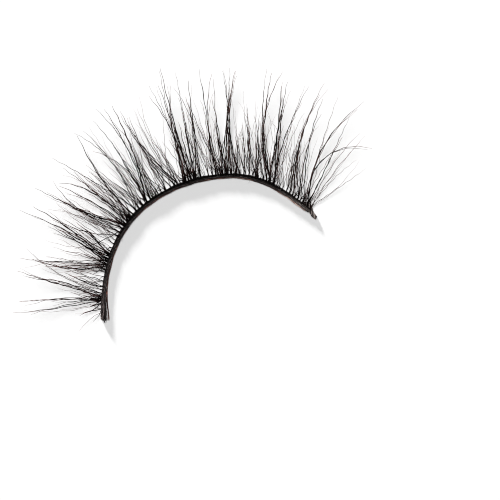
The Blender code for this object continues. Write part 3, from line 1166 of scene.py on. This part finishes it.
tail_guide = smooth_line(TAIL_LINE)
guide_share = distances(tail_guide) / distances(tail_guide)[-1]
tail_pattern = strand_pattern(5, TAIL_RINGS)
tail_lines = []
for fibre in range(TAIL_FIBRES):
    reach = rng.uniform(0.84, 1.0)
    spot = np.linspace(0.0, reach, TAIL_RINGS)
    line = places_on(tail_guide, guide_share, spot)
    ahead = unit(np.gradient(line[:, :2], axis=0))
    across = np.column_stack([-ahead[:, 1], ahead[:, 0]])
    ring_share = math.sqrt((fibre % 11 + 1) / 11)
    turn = 2 * math.pi * (fibre * 0.382 + 0.9 * spot)
    thin = TAIL_RADIUS * ring_share * np.interp(spot, (0.0, 0.5, 0.85, 1.0), (1.0, 1.0, 0.92, 0.85))
    line[:, :2] += across * (thin * np.cos(turn))[:, None]
    line[:, 2] = np.maximum(line[:, 2] + thin * np.sin(turn), FIBRE_RADIUS)
    tail_lines.append(line)
dark = np.arange(TAIL_FIBRES) % 2 == 0
thread_tail = lay_strands(
    "thread_tail_fibres",
    tail_pattern,
    tail_lines,
    FIBRE_RADIUS * 1.15,
    np.where(dark, -0.25, rng.uniform(0.2, 1.3, TAIL_FIBRES)),
    tail_finish,
)

# %% The split thread on the left
SPLIT_LINE = np.array((
    # at, out
    (-0.20, -0.58),
    (0.80, -0.48),
    (1.60, -0.37),
    (2.10, -0.33),
    (3.20, -0.25),
    (4.60, -0.21),
))
SPLIT_UP = 0.10
SPLIT_FIBRES = 7
SPLIT_WOUND = 0.048
SPLIT_RADIUS = 0.026
THREAD_PITCH = 1.3

split_lines = []
for fibre in range(SPLIT_FIBRES):
    at = np.linspace(4.5 + rng.uniform(-0.3, 0.1), -0.15 + rng.uniform(-0.05, 0.3), TAIL_RINGS)
    turn = 2 * math.pi * (fibre / SPLIT_FIBRES + at / THREAD_PITCH)
    out = np.interp(at, SPLIT_LINE[:, 0], SPLIT_LINE[:, 1]) + SPLIT_WOUND * np.cos(turn)
    up = np.maximum(SPLIT_UP + SPLIT_WOUND * np.sin(turn), 0.02)
    split_lines.append(beside_arch(at, out, up))
split_thread = lay_strands(
    "split_thread_fibres",
    tail_pattern,
    split_lines,
    SPLIT_RADIUS,
    rng.uniform(0, 1, SPLIT_FIBRES),
    split_finish,
)

# %% Fibre ends at the left cut
CUT_ENDS = (
    # at and out where it leaves the cut, at and out of its end, how many fibres, is it dark
    (0.25, 0.06, -0.38, -0.14, 4, True),
    (0.20, -0.12, -0.30, -0.30, 2, False),
    (0.95, -0.33, 0.02, -0.41, 3, False),
    (0.60, -0.24, -0.12, -0.36, 2, False),
    (0.20, 0.18, -0.12, 0.16, 2, True),
)
CUT_END_RADIUS = 0.018


def cut_ends(name, dark, radius, tone, finish):
    """The dark or the pale fibres that stick out of the cut."""
    lines = []
    for from_at, from_out, to_at, to_out, fibres, is_dark in CUT_ENDS:
        for _ in range(fibres if is_dark == dark else 0):
            at = np.linspace(from_at, to_at + rng.normal(0, 0.03), TAIL_RINGS)
            out = np.linspace(from_out, to_out + rng.normal(0, 0.02), TAIL_RINGS)
            up = np.linspace(0.30, 0.08, TAIL_RINGS) + rng.uniform(-0.03, 0.05)
            bow = rng.normal(0.02, 0.02) * np.sin(np.linspace(0.0, math.pi, TAIL_RINGS))
            lines.append(beside_arch(at, out + bow, up))
    return lay_strands(name, tail_pattern, lines, radius, [tone] * len(lines), finish)


dark_ends = cut_ends("dark_cut_fibres", True, CUT_END_RADIUS, 1.0, cotton_finish)
pale_ends = cut_ends("pale_cut_fibres", False, CUT_END_RADIUS * 0.8, 0.4, pale_finish)

# %% The thread along the inner edge
EDGE_OUT = -0.280
EDGE_UP = 0.15
EDGE_RADIUS = 0.034
EDGE_STRANDS = 3
EDGE_FROM = 3.0

edge_lines = []
for strand in range(EDGE_STRANDS):
    at = np.linspace(EDGE_FROM, band_length - 0.15, FIBRE_RINGS)
    turn = 2 * math.pi * (at / THREAD_PITCH + strand / EDGE_STRANDS)
    out = EDGE_OUT + 0.026 * np.cos(turn) + 0.022 * np.sin(at * 0.8) + 0.016 * np.sin(at * 2.9)
    edge_lines.append(on_cord(at, out, EDGE_UP + 0.020 * np.sin(turn)))
edge_thread = lay_strands(
    "inner_edge_thread", fibre_pattern, edge_lines, EDGE_RADIUS, (0.2, 0.5, 0.8), edge_finish
)

# %% [markdown]
# Cotton is never clean. Short loose fibres stand off the cord here and there. They are far thinner
# than a hair, but they keep the cord from looking like plastic.

# %% Loose fibres on the cord
FUZZ = 90
FUZZ_RINGS = 9
FUZZ_LENGTH = (0.20, 0.50)
FUZZ_RADIUS = (0.005, 0.010)
fuzz_pattern = strand_pattern(4, FUZZ_RINGS)
fuzz_lines = []
for fibre in range(FUZZ):
    at = rng.uniform(0.2, band_length - 0.2)
    heading = rng.normal(0.0, 0.35) + (math.pi if rng.random() < 0.5 else 0.0)
    length = rng.uniform(*FUZZ_LENGTH)
    path = np.linspace(0.0, length, FUZZ_RINGS)
    bend = rng.normal(0.0, 0.8)
    out = rng.uniform(-0.28, 0.2) + path * math.sin(heading) + bend * path**2 * 0.4
    up = 0.40 - 0.5 * abs(out[0]) + rng.uniform(0.02, 0.10) * np.sin(path / length * 2.6)
    fuzz_lines.append(beside_arch(at + path * math.cos(heading), out, np.maximum(up, 0.02)))
loose_fibres = lay_strands(
    "loose_cotton_fibres",
    fuzz_pattern,
    fuzz_lines,
    np.outer(rng.uniform(*FUZZ_RADIUS, FUZZ), np.linspace(1.0, 0.6, FUZZ_RINGS)),
    rng.uniform(0, 1, FUZZ),
    tail_finish,
)

# %% [markdown]
# ## Fixing everything to the frame
#
# The strip has no joints, so every piece rides on the one body, root. Each solid of the packed
# model is hidden by the piece that stands for it. Each row of the table also lists the slot of
# the record that the piece's finish belongs to, but nothing here reads it.

# %% Ride and replace
PIECES = [
    (cord_core, "band", ("lash_band",)),
    (cotton_plies, "band", ("lash_band",)),
    (root_thread, "band", ()),
    (root_knots, "band", ()),
    (edge_thread, "thread", ()),
    (thread_tail, "thread", ("thread_tail",)),
    (split_thread, "thread", ("split_thread",)),
    (dark_ends, "band", ()),
    (pale_ends, "thread", ()),
    (loose_fibres, "band", ()),
]
for number, fan in enumerate(fans_of_hair, 1):
    PIECES.append((fan, "hair", (f"lash_fan_{number:02d}",)))
for piece, slot, nodes in PIECES:
    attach(piece, "root")
    if nodes:
        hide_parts(*nodes)
print("pieces:", len(PIECES))

# %% [markdown]
# In truth the hairs would shade the low lamp too, and their streaks would cover the clean grey
# shadow that the cord lays inside the arch. As a choice of lighting, only the cord's pieces are put
# in that lamp's blocker collection, which is Blender's way to say what may shade one lamp.

# %% What casts the long shadow
long_shadow = bpy.data.collections.new("casts_the_long_shadow")
for piece in (cord_core, cotton_plies, root_thread, root_knots, edge_thread, thread_tail, split_thread):
    long_shadow.objects.link(piece)
bpy.data.objects["lamp_behind_tips"].light_linking.blocker_collection = long_shadow

# %% Keep both boxes
dressed_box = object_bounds()
sizes = {
    "cad": [list(corner) for corner in cad_box],
    "visual": [list(corner) for corner in dressed_box],
}
for name, (low, high) in sizes.items():
    print(name, "box in mm:", [round((b - a) / MM, 2) for a, b in zip(low, high)])
